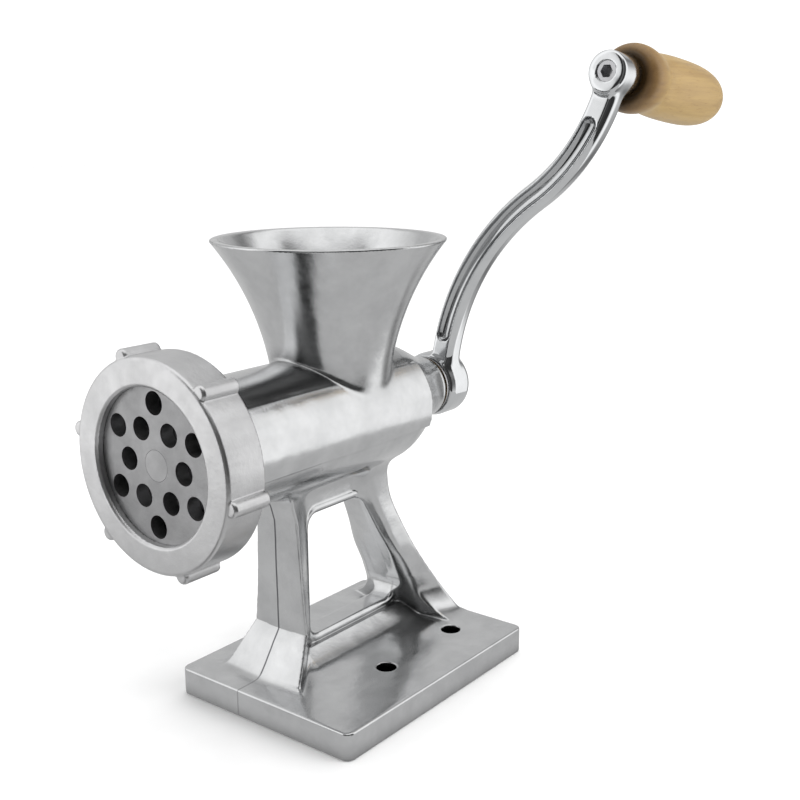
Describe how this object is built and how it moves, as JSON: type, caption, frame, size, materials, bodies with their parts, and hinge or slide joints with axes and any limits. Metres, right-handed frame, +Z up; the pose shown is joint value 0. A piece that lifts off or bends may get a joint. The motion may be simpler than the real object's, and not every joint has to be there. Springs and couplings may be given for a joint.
{
  "type": "hand crank meat grinder",
  "caption": "Hand-cranked meat grinder: flared hopper on a horizontal barrel, ring nut over a perforated cutting plate, windowed stand on a flat base, curved crank with a wooden grip.",
  "frame": {"origin": "underside of the base plate, below the centre line of the hopper", "axes": "+Z up, -Y along the barrel towards the outlet, +Y towards the crank, +X towards the bench holes"},
  "size_m": [0.1247, 0.2188, 0.2201],
  "materials": {
    "polished_casting": "polished",
    "satin_casting": "satin",
    "plate_steel": "satin",
    "steel": "brushed",
    "mirror_chrome": "mirror",
    "bronze": "satin",
    "nylon": "matte",
    "wood": "varnished"
  },
  "bodies": {
    "stand": {"body_casting": "polished_casting", "plate_key": "steel", "shaft_bush": "bronze", "thrust_washer": "nylon"},
    "drive": {"knife": "steel", "front_stud": "plate_steel", "auger": "satin_casting", "auger_pin": "steel", "drive_shaft": "steel", "crank_spacer": "steel", "crank_arm": "mirror_chrome", "crank_washer": "steel", "crank_lock_washer": "steel", "crank_screw": "steel", "grip_spindle": "steel", "grip_inner_washer": "steel", "grip_outer_washer": "steel"},
    "handle": {"grip": "wood"},
    "plate": {"cutting_plate": "plate_steel"},
    "ring": {"ring_nut": "satin_casting"}
  },
  "joints": [
    {"name": "crank_turn", "type": "hinge", "parent": "stand", "child": "drive", "pos_m": [0, 0, 0.0953], "axis": [0, 1, 0], "continuous": true},
    {"name": "grip_spin", "type": "hinge", "parent": "drive", "child": "handle", "pos_m": [0.0729, 0.06135, 0.20981], "axis": [0, 0.994, -0.1097], "continuous": true},
    {"name": "plate_draw", "type": "slide", "parent": "stand", "child": "plate", "axis": [0, -1, 0], "range_m": [0, 0.01]},
    {"name": "ring_turn", "type": "hinge", "parent": "plate", "child": "ring", "pos_m": [0, -0.075, 0.0953], "axis": [0, -1, 0], "range_deg": [0, 1440]}
  ],
  "couplings": [
    {"joint": "plate_draw", "follows": "ring_turn", "m_per_rad": 0.00039789}
  ]
}
